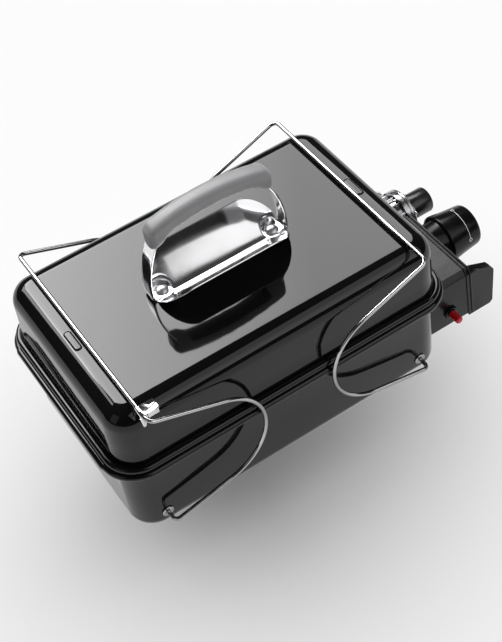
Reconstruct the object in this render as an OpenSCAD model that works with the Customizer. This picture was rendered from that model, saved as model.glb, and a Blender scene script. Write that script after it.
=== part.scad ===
// Portable gas grill, closed for carrying: deep enamelled bowl and lid, two wire legs folded up
// over the lid, arched grip over a bright shield, control box, knob and regulator on the right end.
// Millimetres. X runs along the grill, +X is the valve end, +Y the back, Z up from the bowl's floor.

/* [Body] */
// length of the bowl over its walls
body_len = 432; // [416:2:448]
// width of the bowl over its walls
body_wid = 270; // [262:2:278]
// height of the bowl to the top of its rolled rim
bowl_h = 124; // [118:1:132]
// height of the lid above the rim
lid_h = 86; // [80:1:92]
// corner radius of the bowl in plan
corner_r = 36; // [32:1:40]
// bend radius where the bowl's floor turns up
floor_bend = 17; // [14:1:19]
// sheet thickness of bowl and lid
sheet = 1.4; // [1.2:0.1:1.8]

/* [Rim] */
// how far the rolled rim stands out past the end walls
rim_over_x = 16.5; // [15:0.5:19]
// how far the rolled rim stands out past the front and back walls
rim_over_y = 13; // [12:0.5:15]
// radius of the rolled rim
bead_r = 4.5; // [4:0.1:5]

/* [Lid] */
// bend radius round the lid's top
lid_round = 24; // [20:1:28]
// how much the lid's wall leans in from foot to bend
lid_lean = 2; // [1:0.5:4]
// height of the two stop ridges beside the folded bars
ridge_h = 1.6; // [1:0.1:1.9]

/* [Legs] */
// wire diameter
wire_d = 5; // [4.6:0.1:5.4]
// distance of the pivots in from the end walls
leg_inset = 35; // [33:0.5:38]
// height of the pivots above the floor
pivot_z = 26; // [25:0.5:30]
// rise of the lower run away from the pivot, degrees
run_low = 12.4; // [11:0.2:14]
// fall of the upper run away from the bar, degrees
run_high = 21.5; // [20:0.5:23]
// distance of the loop's centre in from the pivot
loop_in = 61.9; // [58:1:66]
// gap between the folded bar and the lid's top
bar_gap = 2.6; // [2.4:0.1:3.2]

/* [Handle] */
// distance between the two handle screws
screw_span = 149; // [145:1:153]
// height of the grip's centre over the lid at mid length
grip_rise = 101; // [96:1:106]
// diameter of the grip
grip_d = 31; // [29:0.5:33]
// slope of the shield's two wings, degrees
shield_tilt = 34; // [31:1:37]

/* [Controls] */
// width of the control box, front to back
box_wid = 126; // [122:1:130]
// height of the control box
box_h = 86; // [82:1:90]
// depth of the control box at its top
box_deep = 58.6; // [56:0.2:61]
// distance of the box's front face forward of the middle
box_front = 106; // [104:1:108]
// largest diameter of the knob
knob_d = 67; // [64:1:69]
// reach of the knob past the end wall
knob_reach = 141; // [137:1:142]
// diameter of the regulator's round housing
reg_d = 64; // [60:1:68]
// length of the igniter button outside the box
button_out = 20; // [16:1:22]

/* [Hidden] */
$fn = 64;
// running gap of turning and sliding fits, gap of still fits, face gap beside moving pieces
run_gap = 0.05;
fit_gap = 0.05;
face_gap = 0.1;

half_x = body_len / 2;
half_y = body_wid / 2;
bowl_cx = half_x - corner_r;
bowl_cy = half_y - corner_r;
rim_x = half_x + rim_over_x;
rim_y = half_y + rim_over_y;
rim_r = corner_r + 12;
seat_z = bowl_h - 0.4;
top_z = bowl_h + lid_h;

lid_r = corner_r + 4;
lid_x = half_x + 2;
lid_y = half_y + 1;
lid_cx = lid_x - lid_r;
lid_cy = lid_y - lid_r;
lid_bead_r = bead_r - 0.3;
lid_foot = 6;
roof_r = lid_r - lid_lean - lid_round;
ridge_len = 36;
ridge_wid = 14;

wire_r = wire_d / 2;
knuckle_r = wire_r + 0.04;
leg_y = rim_y + 2 + wire_r;
leg_x = half_x - leg_inset;
bar_z = top_z + bar_gap + wire_r;
bar_up = bar_z - pivot_z;
loop_r = (bar_up - loop_in * (tan(run_low) + tan(run_high))) / (1 / cos(run_low) + 1 / cos(run_high));
loop_up = (loop_r + loop_in * sin(run_low)) / cos(run_low);
low_end = loop_in * cos(run_low) + loop_up * sin(run_low);
high_end = loop_in * cos(run_high) + (bar_up - loop_up) * sin(run_high);
pin_bend = 7;
bar_bend = 9;
pin_in = 8;
washer_r = 7.4;
washer_t = 1.6;
nut_r = 5.5;
// the nuts stand off where the wall starts to turn into the corner
nut_past = max(0, leg_x + nut_r - bowl_cx);
nut_gap = face_gap + corner_r - sheet - sqrt((corner_r - sheet) * (corner_r - sheet) - nut_past * nut_past);

grip_r = grip_d / 2;
grip_z = top_z + grip_rise;
grip_arch = 190;
grip_turn = asin((screw_span / 2 - 1.5) / grip_arch);
arm_t = 2.5;
arm_wid = 20;
arm_foot = screw_span / 2 + 16;
arm_head = grip_arch * sin(grip_turn) - 1;
arm_head_z = grip_z - grip_arch * (1 - cos(grip_turn)) - 2;
arm_bow = 150;
cup_r = 11.5;
shield_t = 1.6;
shield_arc = 22;
shield_low = 7;
shield_droop = 14;
shield_flat = screw_span / 2 - 14.5;
shield_half = screw_span / 2 + 12.5;
shield_wid = 41.3;
shield_end_r = 33;
handle_y = 1;
shield_y = handle_y - 2;
hole_d = 5;

grate_z = bowl_h - 20;
grate_half_x = bowl_cx + 15;
grate_half_y = half_y - 11;
grate_bars = 21;
rod_d = 5;
ledge_x = bowl_cx - 60;
ledge_in = 22;
ledge_wid = 20;

box_x0 = half_x;
box_x1 = half_x + box_deep;
box_z0 = 6;
box_z1 = box_z0 + box_h;
box_y0 = -box_front;
box_y1 = box_y0 + box_wid;
box_t = 3;
box_cham = 7;
lean = 4.5;
panel_t = 9;
panel_groove = 1;
guard_t = 10;
guard_out = 31;
guard_drop = 15;

valve_y = box_y1 - 30.6;
valve_z = box_z0 + box_h / 2;
valve_x0 = box_x0 + 26;
valve_len = 32;
valve_half = 11;
stem_d = 8;
burner_r = 10;
burner_t = 1.2;
burner_end = half_x - 41;
burner_mouth = box_x0 + 20;
plate_half = half_x - 66;
plate_wid = 52;
plate_t = 1.5;
plate_top = grate_z - 14;

knob_r = knob_d / 2;
knob_x0 = box_x0 + 74;
knob_x1 = box_x0 + knob_reach;
knob_step = box_x0 + 93;
collar_r = knob_r - 5.5;

reg_y = box_y1 + 40.6;
reg_r = reg_d / 2;
reg_x0 = box_x0 + 46;
reg_flange = box_x0 + 82;
reg_body_r = reg_r - 9;
cover_x = reg_flange + 4;
cover_x1 = cover_x + 12;
nipple_r = 11;
cap_r = 17.4;
cap_t = 3;
cap_x0 = cover_x1 + face_gap;
cap_x1 = box_x0 + 128;
feed_x = reg_x0 + 8;
port_x = box_x0 + 74;

ign_x = box_x0 + 35;
ign_z = box_z0 + 31;
ign_r = 6;
button_r = 5;
electrode_y = valve_y - 16;
electrode_z = valve_z + 12;

// Plain rounded rectangle in plan.
module slab(lx, ly, r) {
    square([2 * (lx - r), 2 * ly], center = true);
    square([2 * lx, 2 * (ly - r)], center = true);
    for (sx = [-1, 1], sy = [-1, 1])
        translate([sx * (lx - r), sy * (ly - r)]) circle(r);
}

// Takes a profile, outward and up, round a rectangle with corner centres at cx, cy.
module carry(cx, cy) {
    for (k = [0:3])
        translate([(k == 0 || k == 3 ? 1 : -1) * cx, (k < 2 ? 1 : -1) * cy, 0])
            rotate([0, 0, 90 * k]) rotate_extrude(angle = 90) children();
    for (s = [-1, 1]) {
        translate([0, s * cy, 0]) rotate([90, 0, s * 90]) linear_extrude(2 * cx, center = true) children();
        translate([s * cx, 0, 0]) rotate([90, 0, 90 - s * 90])
            linear_extrude(2 * cy, center = true) children();
    }
}

// Quarter bend of sheet in the quadrant of the signs sx, sy.
module bend(r, t, sx, sy) {
    intersection() {
        difference() {
            circle(r);
            circle(r - t);
        }
        translate([sx > 0 ? 0 : -r - 1, sy > 0 ? 0 : -r - 1]) square(r + 1);
    }
}

// Round bar along X from x0 to x1.
module bar_x(r, x0, x1) {
    translate([x0, 0, 0]) rotate([0, 90, 0]) cylinder(r = r, h = x1 - x0);
}

// Round bar along Y from y0 to y1.
module bar_y(r, y0, y1) {
    translate([0, y1, 0]) rotate([90, 0, 0]) cylinder(r = r, h = y1 - y0);
}

// Six-sided prism along X.
module hex_x(across, x0, x1) {
    translate([x0, 0, 0]) rotate([0, 90, 0]) linear_extrude(x1 - x0)
        polygon([for (a = [0:60:300]) across / 2 / cos(30) * [cos(a), sin(a)]]);
}

// Body

module bowl_profile() {
    square([corner_r - floor_bend, sheet]);
    translate([corner_r - floor_bend, floor_bend]) bend(floor_bend, sheet, 1, -1);
    translate([corner_r - sheet, floor_bend]) square([sheet, seat_z - floor_bend]);
}

module box_screw_spots() {
    for (y = [box_y0 + 27, box_y1 - 24], z = [box_z0 + 18, box_z1 - 16])
        translate([0, y, z]) children();
}

module bowl() {
    color("#0b0b0c") difference() {
        union() {
            carry(bowl_cx, bowl_cy) bowl_profile();
            translate([-bowl_cx, -bowl_cy, 0]) cube([2 * bowl_cx, 2 * bowl_cy, sheet]);
            translate([0, 0, seat_z - sheet]) linear_extrude(sheet) difference() {
                slab(rim_x - bead_r, rim_y - bead_r, rim_r - bead_r);
                slab(half_x - sheet, half_y - sheet, corner_r - sheet);
            }
            carry(rim_x - rim_r, rim_y - rim_r) translate([rim_r - bead_r, bowl_h - bead_r]) circle(bead_r);
        }
        // pivot holes
        for (sx = [-1, 1], sy = [-1, 1])
            translate([sx * leg_x, sy * (half_y - 5), pivot_z]) bar_y(wire_r + run_gap, -8, 8);
        // burner, electrode and box screw holes in the right end
        translate([half_x - 8, valve_y, valve_z]) bar_x(burner_r + fit_gap, 0, 16);
        translate([half_x - 8, electrode_y, electrode_z]) bar_x(3.5 + fit_gap, 0, 16);
        box_screw_spots() bar_x(2 + fit_gap, half_x - 8, half_x + 8);
        // air and drain holes in the floor
        for (k = [-2:2])
            translate([k * 70, 60, -1]) cylinder(d = 10, h = sheet + 2);
        translate([0, -60, -1]) cylinder(d = 14, h = sheet + 2);
    }
}

module lid_profile() {
    polygon([[lid_r, seat_z], [lid_r - lid_lean, top_z - lid_round],
        [lid_r - lid_lean - sheet, top_z - lid_round], [lid_r - sheet, seat_z]]);
    translate([roof_r, top_z - lid_round]) bend(lid_round, sheet, 1, 1);
    translate([0, top_z - sheet]) square([roof_r, sheet]);
    translate([lid_r - sheet, seat_z]) square([lid_foot, sheet]);
    translate([lid_r - sheet + lid_foot, seat_z + 0.4 + lid_bead_r]) circle(lid_bead_r);
}

module handle_spots() {
    for (s = [-1, 1])
        translate([s * screw_span / 2, handle_y, top_z]) children();
}

module lid() {
    color("#0b0b0c") difference() {
        union() {
            carry(lid_cx, lid_cy) lid_profile();
            translate([-lid_cx, -lid_cy, top_z - sheet]) cube([2 * lid_cx, 2 * lid_cy, sheet]);
            for (s = [-1, 1])
                translate([s * (leg_x + wire_r + 1 + ridge_wid / 2), 0, top_z - 1.2])
                    linear_extrude(1.2 + ridge_h) slab(ridge_wid / 2, ridge_len / 2, 5);
        }
        handle_spots() translate([0, 0, -2 * sheet]) cylinder(d = hole_d + 2 * fit_gap, h = 4 * sheet);
    }
}

// Handle

// Section of the space over the shield's trough, let out by e; the origin is the centre of its round valley.
module trough_section(e) {
    r = shield_arc + e;
    far = 2 * shield_wid;
    circle(r);
    polygon([[-r * sin(shield_tilt), -r * cos(shield_tilt)],
        [-r * sin(shield_tilt) - far * cos(shield_tilt), -r * cos(shield_tilt) + far * sin(shield_tilt)],
        [r * sin(shield_tilt) + far * cos(shield_tilt), -r * cos(shield_tilt) + far * sin(shield_tilt)],
        [r * sin(shield_tilt), -r * cos(shield_tilt)]]);
}

// Space over the trough: straight at mid length, with its ends bent down towards the lid.
module trough_space(e) {
    for (s = [-1, 0, 1])
        translate([s * shield_flat, 0, shield_low]) rotate([0, s * shield_droop, 0])
            translate([0, shield_y, shield_arc]) rotate([90, 0, 90])
                linear_extrude(4 * shield_half, center = true) trough_section(e);
}

module shield() {
    intersection() {
        difference() {
            trough_space(shield_t);
            trough_space(0);
        }
        translate([0, shield_y, 0]) linear_extrude(45) slab(shield_half, shield_wid, shield_end_r);
    }
}

// Bowed end arm in the XZ plane, its outer face from foot to head, let out by e all round.
module arm_section(e) {
    rise = arm_head_z - top_z;
    chord = norm([arm_foot - arm_head, rise]);
    out = [rise, arm_foot - arm_head] / chord;
    mid = [arm_foot + arm_head, rise] / 2 - out * sqrt(arm_bow * arm_bow - chord * chord / 4);
    intersection() {
        translate(mid) difference() {
            circle(arm_bow + e);
            circle(arm_bow - arm_t - e);
        }
        translate([arm_head - 20, 0]) square([60, rise]);
    }
}

module handle_bracket() {
    color("#d4d6d8") translate([0, 0, top_z]) {
        difference() {
            union() {
                shield();
                // screw cups pressed down from the trough's ends
                difference() {
                    for (s = [-1, 1])
                        translate([s * screw_span / 2, handle_y, 0]) {
                            cylinder(r = cup_r, h = 40);
                            translate([s * 5, 0, 20]) cube([10, 2 * cup_r, 40], center = true);
                        }
                    trough_space(0);
                }
            }
            for (s = [-1, 1])
                translate([s * screw_span / 2, handle_y, 0]) {
                    translate([0, 0, shield_t]) cylinder(r = cup_r - shield_t, h = 40);
                    translate([s * 20, 0, shield_t + 20])
                        cube([40, 2 * (cup_r - shield_t), 40], center = true);
                    translate([0, 0, -1]) cylinder(d = hole_d + 2 * fit_gap, h = 10);
                }
        }
        for (s = [-1, 1]) {
            translate([s * (screw_span / 2 + 12), handle_y, shield_t / 2])
                cube([8, arm_wid - 1, shield_t], center = true);
            translate([0, handle_y + arm_wid / 2, 0]) rotate([90, 0, 0]) linear_extrude(arm_wid)
                mirror([s > 0 ? 0 : 1, 0]) arm_section(0);
        }
    }
}

module grip_section() {
    circle(grip_r);
}

module handle_grip() {
    color("#6c6d70") difference() {
        union() {
            translate([0, 0, grip_z - grip_arch]) rotate([90, 0, 0]) rotate([0, 0, 90 - grip_turn])
                rotate_extrude(angle = 2 * grip_turn) translate([grip_arch, 0]) grip_section();
            for (s = [-1, 1])
                translate([s * grip_arch * sin(grip_turn), 0, grip_z - grip_arch * (1 - cos(grip_turn)) - 1])
                    sphere(grip_r + 1.2);
        }
        for (s = [-1, 1])
            translate([0, handle_y + arm_wid / 2 + fit_gap, 0]) rotate([90, 0, 0])
                linear_extrude(arm_wid + 2 * fit_gap)
                    mirror([s > 0 ? 0 : 1, 0]) translate([0, top_z]) arm_section(fit_gap);
    }
}

module handle_screws() {
    color("#b9bbbd") handle_spots() {
        translate([0, 0, shield_t]) cylinder(r = 5.5, h = 2.6);
        translate([0, 0, -sheet - 8]) cylinder(d = hole_d, h = sheet + 8 + shield_t);
    }
}

module handle_nuts() {
    color("#9a9da0") handle_spots() translate([0, 0, -sheet - 4]) difference() {
        cylinder(d = 9.2, h = 4, $fn = 6);
        translate([0, 0, -1]) cylinder(d = hole_d + 2 * fit_gap, h = 6);
    }
}

// Inside the bowl

module grate_ledges() {
    color("#2b2b2d") for (sx = [-1, 1], sy = [-1, 1])
        translate([sx * ledge_x, sy * (half_y - sheet), grate_z]) {
            translate([-ledge_wid / 2, sy > 0 ? -ledge_in : 0, -1.5]) cube([ledge_wid, ledge_in, 1.5]);
            translate([-ledge_wid / 2, sy > 0 ? -1.5 : 0, -14]) cube([ledge_wid, 1.5, 14]);
        }
}

module cooking_grate() {
    color("#77797c") translate([0, 0, grate_z + rod_d / 2]) {
        for (k = [-1:1])
            translate([0, k * (grate_half_y - 5), 0]) bar_x(rod_d / 2, -grate_half_x, grate_half_x);
        for (k = [0:grate_bars - 1])
            translate([(grate_half_x - 4) * (2 * k / (grate_bars - 1) - 1), 0, rod_d / 2 + 1.4])
                bar_y(2, -grate_half_y, grate_half_y);
    }
}

module heat_plate() {
    color("#8d8f92") translate([0, valve_y, 0]) difference() {
        union() {
            rotate([90, 0, 90]) linear_extrude(2 * plate_half, center = true) polygon([
                [-plate_wid, plate_top - plate_wid * 0.5], [0, plate_top],
                [plate_wid, plate_top - plate_wid * 0.5],
                [plate_wid, plate_top - plate_wid * 0.5 - 2 * plate_t], [0, plate_top - 2 * plate_t],
                [-plate_wid, plate_top - plate_wid * 0.5 - 2 * plate_t]]);
            for (s = [-1, 1])
                translate([s * (plate_half - plate_t / 2) - plate_t / 2, 0, 0]) rotate([90, 0, 90])
                    linear_extrude(plate_t) polygon([[-plate_wid * 0.6, sheet], [plate_wid * 0.6, sheet],
                        [plate_wid * 0.6, plate_top - plate_wid * 0.3 - plate_t], [0, plate_top - plate_t],
                        [-plate_wid * 0.6, plate_top - plate_wid * 0.3 - plate_t]]);
        }
        translate([0, 0, valve_z]) bar_x(burner_r + fit_gap, -half_x, half_x);
    }
}

module burner_tube() {
    color("#9b9da0") translate([0, valve_y, valve_z]) difference() {
        bar_x(burner_r, -burner_end, burner_mouth);
        bar_x(burner_r - burner_t, -burner_end + 2, burner_mouth + 1);
        for (k = [-6:6], s = [-1, 1])
            translate([k * 22, 0, 0]) rotate([s * 60, 0, 0]) cylinder(d = 3, h = burner_r + 2, $fn = 24);
    }
}

module electrode_insulator() {
    color("#e9e6de") translate([box_x0, electrode_y, electrode_z]) difference() {
        union() {
            bar_x(3.5, -26, box_t + 6);
            bar_x(5.5, box_t, box_t + 4);
        }
        bar_x(1.2 + fit_gap, -40, 20);
    }
}

module electrode_rod() {
    color("#a8aaad") translate([box_x0, electrode_y, electrode_z]) bar_x(1.2, -40, box_t + 12);
}

// Control box and panel

// Section of the box across the grill with bevelled long edges, drawn in by e all round.
module box_section(e) {
    y0 = box_y0 + e;
    y1 = box_y1 - e;
    z0 = box_z0 + e;
    z1 = box_z1 - e;
    c = box_cham - e * 0.58;
    polygon([[y0, z0 + c], [y0 + c, z0], [y1 - c, z0], [y1, z0 + c], [y1, z1 - c], [y1 - c, z1],
        [y0 + c, z1], [y0, z1 - c]]);
}

function seam(z) = box_x1 + (box_z1 - z) * tan(lean);

// Block between two leaning faces a and b past the seam.
module between(a, b) {
    translate([0, box_y1 + 50, 0]) rotate([90, 0, 0]) linear_extrude(box_wid + 100) polygon([
        [seam(box_z0 - 20) + a, box_z0 - 20], [seam(box_z0 - 20) + b, box_z0 - 20],
        [seam(box_z1 + 20) + b, box_z1 + 20], [seam(box_z1 + 20) + a, box_z1 + 20]]);
}

module box_core(e, x0, a, b) {
    intersection() {
        translate([x0, 0, 0]) rotate([90, 0, 90]) linear_extrude(200) box_section(e);
        between(a, b);
    }
}

module panel_spots() {
    for (y = [box_y0 + 15, box_y1 - 12], z = [box_z0 + 13, box_z1 - 13])
        translate([0, y, z]) children();
}

module control_box() {
    color("#1d1e20") difference() {
        union() {
            difference() {
                box_core(0, box_x0, -120, 0);
                box_core(box_t, box_x0 + box_t, -120, 1);
            }
            // screw posts
            intersection() {
                panel_spots() bar_x(4.5, box_x0 + 1, box_x1 + 40);
                box_core(1, box_x0, -120, 0);
            }
            // seat under the valve
            translate([valve_x0 + 4, valve_y - 9, box_z0 + 1])
                cube([20, 18, valve_z - valve_half - box_z0 - 1]);
        }
        panel_spots() bar_x(1.5 + fit_gap, box_x0 + box_t + 8, box_x1 + 60);
        translate([box_x0 - 5, valve_y, valve_z]) bar_x(burner_r + fit_gap, 0, 15);
        translate([box_x0 - 5, electrode_y, electrode_z]) bar_x(3.5 + fit_gap, 0, 15);
        box_screw_spots() bar_x(2 + fit_gap, box_x0 - 5, box_x0 + 10);
        translate([ign_x, 0, ign_z]) bar_y(ign_r + fit_gap, box_y0 - 5, box_y0 + 8);
        translate([feed_x, 0, valve_z]) bar_y(4.5 + fit_gap, box_y1 - 8, box_y1 + 5);
        translate([valve_x0 + 14, valve_y, box_z0 - 1]) cylinder(r = 2 + fit_gap, h = valve_z);
        translate([valve_x0 + 14, valve_y, box_z0 - 1]) cylinder(r = 5, h = 6);
    }
}

module control_panel() {
    gx = seam(box_z0) + panel_t;
    color("#1d1e20") difference() {
        union() {
            box_core(0, box_x0, 0, panel_t * 0.45);
            box_core(panel_groove, box_x0, 0, panel_t);
            box_core(0, box_x0, panel_t * 0.62, panel_t);
            // guard along the front edge
            translate([0, box_y0 + guard_t, 0]) rotate([90, 0, 0]) linear_extrude(guard_t) polygon([
                [seam(box_z0 + 3) + 1, box_z0 + 2], [gx + guard_out - 6, box_z0 + 2],
                [gx + guard_out - 2, box_z0 + 6], [gx + guard_out - 2, box_z1 - guard_drop - 8],
                [gx + guard_out - 8, box_z1 - guard_drop], [seam(box_z1 - 1) + panel_t - 1, box_z1 - 1],
                [seam(box_z1 - 1) + 1, box_z1 - 1]]);
            translate([gx - 3, box_y0 + guard_t - 0.1, box_z0 + 4]) linear_extrude(box_h - guard_drop - 10)
                difference() {
                    square([11, 8]);
                    translate([11, 8]) circle(8);
                }
        }
        // bevel carried out along the guard's top edge
        translate([box_x0, box_y0, box_z1]) rotate([45, 0, 0])
            cube([300, 2 * box_cham, box_cham * 1.4142], center = true);
        panel_spots() bar_x(1.5 + fit_gap, box_x0, box_x1 + 60);
        panel_spots() translate([box_x1 + panel_t + 1.5, 0, 0]) bar_x(3.2, 0, 60);
        translate([0, valve_y, valve_z]) bar_x(stem_d / 2 + 2, box_x0, box_x1 + 60);
    }
}

module box_screws() {
    color("#b9bbbd") box_screw_spots() {
        bar_x(2, box_x0 - sheet - 5, box_x0 + box_t + 1);
        bar_x(3.8, box_x0 + box_t, box_x0 + box_t + 2.4);
    }
}

module box_nuts() {
    color("#9a9da0") box_screw_spots() difference() {
        hex_x(7, box_x0 - sheet - 3.2, box_x0 - sheet);
        bar_x(2 + fit_gap, box_x0 - sheet - 6, box_x0);
    }
}

module panel_screws() {
    color("#9a9da0") panel_spots() {
        bar_x(1.5, box_x0 + box_t + 12, box_x1 + panel_t + 2);
        bar_x(3, box_x1 + panel_t + 1.5, box_x1 + panel_t + 3.5);
    }
}

// Gas train

module valve_body() {
    color("#b08d4a") difference() {
        union() {
            translate([valve_x0, valve_y - valve_half, valve_z - valve_half])
                cube([valve_len, 2 * valve_half, 2 * valve_half]);
            translate([valve_x0, valve_y, valve_z]) bar_x(4, -12, 1);
        }
        translate([valve_x0, valve_y, valve_z]) bar_x(stem_d / 2 + run_gap, 14, valve_len + 1);
        translate([valve_x0, valve_y, valve_z]) bar_x(1, -13, 15);
        translate([valve_x0 + 14, valve_y, valve_z - valve_half - 1]) cylinder(r = 2 + fit_gap, h = 7);
        translate([feed_x, valve_y, valve_z]) bar_y(4.5 + fit_gap, valve_half - 4, valve_half + 1);
    }
}

module valve_screw() {
    color("#b9bbbd") translate([valve_x0 + 14, valve_y, 0]) {
        translate([0, 0, box_z0 + 2.6]) cylinder(r = 3.8, h = 2.4);
        translate([0, 0, box_z0 + 4]) cylinder(r = 2, h = valve_z - valve_half + 5 - box_z0 - 4);
    }
}

module valve_stem() {
    color("#c8b27a") translate([0, valve_y, valve_z]) bar_x(stem_d / 2, valve_x0 + 15, knob_x1 - 22);
}

module knob() {
    color("#141415") translate([0, valve_y, valve_z]) difference() {
        rotate([90, 0, 90]) rotate_extrude() polygon([
            [0, knob_x0], [collar_r - 1, knob_x0], [collar_r, knob_x0 + 1], [collar_r, knob_step - 1.5],
            [knob_r - 0.8, knob_step], [knob_r, knob_step + 1.5], [knob_r - 2.6, knob_step + 20],
            [knob_r - 5.2, knob_x1 - 4], [knob_r - 6.4, knob_x1 - 1.4], [knob_r - 9, knob_x1],
            [0, knob_x1]]);
        bar_x(collar_r - 5, knob_x0 - 1, knob_x0 + 6);
        bar_x(stem_d / 2 + fit_gap, knob_x0 - 1, knob_x1 - 21.9);
    }
}

module feed_pipe() {
    color("#b08d4a") translate([feed_x, 0, valve_z]) difference() {
        bar_y(4.5, valve_y + valve_half - 3.9, reg_y - reg_body_r + 5);
        bar_y(2.5, valve_y, reg_y);
    }
}

module feed_nut() {
    color("#c9a45c") translate([feed_x, box_y1, valve_z]) difference() {
        rotate([0, 0, 90]) hex_x(15, 0, 6);
        bar_y(4.5 + fit_gap, -1, 8);
    }
}

module regulator_body() {
    color("#a9abae") translate([0, reg_y, valve_z]) difference() {
        union() {
            bar_x(reg_body_r, reg_x0, reg_flange);
            bar_x(reg_r, reg_flange - 4, cover_x);
            // cooling ribs
            for (a = [15:30:345])
                rotate([a, 0, 0]) translate([reg_x0 + 4, -1.2, reg_body_r - 2])
                    cube([reg_flange - reg_x0 - 4, 2.4, reg_r - reg_body_r - 2]);
            translate([port_x, 0, 0]) bar_y(9, 0, reg_r + 6);
        }
        translate([feed_x, 0, 0]) bar_y(4.5 + fit_gap, -reg_body_r - 1, 6 - reg_body_r);
        translate([port_x, 0, 0]) bar_y(5 + fit_gap, reg_r - 8, reg_r + 7);
        for (a = [0:60:300])
            rotate([a, 0, 0]) translate([0, 0, reg_r - 4])
                bar_x(1.5 + fit_gap, reg_flange - 10, cover_x + 1);
        bar_x(nipple_r - 4 + fit_gap, reg_flange - 16, cover_x + 1);
    }
}

module regulator_cover() {
    color("#c3c5c8") translate([0, reg_y, valve_z]) difference() {
        rotate([90, 0, 90]) rotate_extrude() polygon([
            [0, cover_x], [reg_r, cover_x], [reg_r, cover_x + 3], [reg_r - 1, cover_x + 4],
            [reg_r - 7, cover_x + 4.5],
            [reg_r - 11, cover_x + 8], [cap_r + 1, cover_x1], [0, cover_x1]]);
        for (a = [0:60:300])
            rotate([a, 0, 0]) translate([0, 0, reg_r - 4]) bar_x(1.5 + fit_gap, cover_x - 1, cover_x + 8);
        bar_x(nipple_r - 4 + fit_gap, cover_x - 1, cover_x1 + 1);
    }
}

module regulator_screws() {
    color("#d4d6d8") translate([0, reg_y, valve_z]) for (a = [0:60:300])
        rotate([a, 0, 0]) translate([0, 0, reg_r - 4]) {
            bar_x(1.5, reg_flange - 8, cover_x + 5.6);
            bar_x(2.6, cover_x + 5, cover_x + 7);
        }
}

module inlet_nipple() {
    color("#c9a45c") translate([0, reg_y, valve_z]) difference() {
        union() {
            bar_x(nipple_r - 4, reg_flange - 15.9, cover_x1 + 1);
            bar_x(nipple_r, cover_x1, cap_x1 - cap_t - 2);
        }
        bar_x(3, reg_flange - 20, cap_x1);
    }
}

module inlet_cap() {
    color("#101011") translate([0, reg_y, valve_z]) difference() {
        rotate([90, 0, 90]) rotate_extrude() polygon([
            [0, cap_x0], [cap_r, cap_x0], [cap_r, cap_x1 - 3], [cap_r - 1, cap_x1 - 1], [cap_r - 3, cap_x1],
            [0, cap_x1]]);
        bar_x(nipple_r + run_gap, cap_x0 - 1, cap_x1 - cap_t);
        difference() {
            bar_x(cap_r - 2.4, cap_x0 - 1, cap_x1 - 10);
            bar_x(nipple_r + 1.8, cap_x0 - 2, cap_x1);
        }
    }
}

module port_nut() {
    color("#b4b6b9") translate([port_x, reg_y + reg_r + 6, valve_z]) difference() {
        rotate([0, 0, 90]) hex_x(20, 0, 8);
        bar_y(5 + fit_gap, -1, 9);
    }
}

module port_plug() {
    color("#b98a3c") translate([port_x, reg_y + reg_r, valve_z]) {
        bar_y(5, -7.9, 15);
        bar_y(7, 14, 24);
    }
}

// Igniter

module igniter_body() {
    color("#1a1a1b") translate([ign_x, box_y0, ign_z]) difference() {
        union() {
            bar_y(ign_r, -5, 50);
            bar_y(8, box_t, 44);
        }
        bar_y(button_r + run_gap, -6, 18);
    }
}

module igniter_nut() {
    color("#2a2a2b") translate([ign_x, box_y0, ign_z]) difference() {
        rotate([0, 0, -90]) hex_x(16, 0, 3.5);
        bar_y(ign_r + fit_gap, -5, 1);
    }
}

module igniter_button() {
    color("#c8141c") translate([ign_x, box_y0, ign_z]) {
        bar_y(button_r, -button_out + 1, 12);
        bar_y(button_r - 1, -button_out, 2);
    }
}

// Legs

// Bent length of wire in the XY plane, a quarter turn of radius r with its centre at the origin.
module wire_turn(r, from, turn) {
    rotate([0, 0, from]) rotate_extrude(angle = turn) translate([r, 0]) circle(wire_r);
    for (a = [from, from + turn])
        rotate([0, 0, a]) translate([r, 0, 0]) sphere(knuckle_r);
}

// Straight length of wire along Z, its ends drawn back inside the knuckles.
module wire_run(h) {
    translate([0, 0, 0.15]) cylinder(r = wire_r, h = h - 0.3);
}

// Wire leg with its pivot at the origin, inboard along +X.
module leg() {
    for (s = [-1, 1]) {
        pin_to = half_y - sheet - pin_in;
        run_y = s * leg_y;
        corner = s > 0 ? 90 : 180;
        // pin
        rotate([-s * 90, 0, 0]) translate([0, 0, pin_to])
            cylinder(r = wire_r, h = leg_y - pin_bend - pin_to - 0.15);
        // bend from pin to lower run
        rotate([0, -run_low, 0]) translate([pin_bend, run_y - s * pin_bend, 0])
            wire_turn(pin_bend, corner, 90);
        // lower run
        translate([0, run_y, 0]) rotate([0, 90 - run_low, 0]) translate([0, 0, pin_bend])
            wire_run(low_end - pin_bend);
        // loop
        translate([loop_in, run_y, loop_up]) rotate([90, 0, 0])
            wire_turn(loop_r, run_low - 90, 180 - run_low - run_high);
        // upper run
        translate([0, run_y, bar_up]) rotate([0, 90 + run_high, 0]) translate([0, 0, bar_bend])
            wire_run(high_end - bar_bend);
        // bend from upper run to bar
        translate([0, 0, bar_up]) rotate([0, run_high, 0]) translate([bar_bend, run_y - s * bar_bend, 0])
            wire_turn(bar_bend, corner, 90);
    }
    // bar over the lid
    translate([0, 0, bar_up]) bar_y(wire_r, -leg_y + bar_bend + 0.15, leg_y - bar_bend - 0.15);
}

module left_side() {
    translate([-leg_x, 0, pivot_z]) children();
}

module right_side() {
    translate([leg_x, 0, pivot_z]) mirror([1, 0, 0]) children();
}

module washers() {
    for (s = [-1, 1])
        translate([0, s * (half_y + face_gap + washer_t / 2), 0]) rotate([90, 0, 0]) difference() {
            cylinder(r = washer_r, h = washer_t, center = true);
            cylinder(r = wire_r + fit_gap, h = 4, center = true);
        }
}

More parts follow.
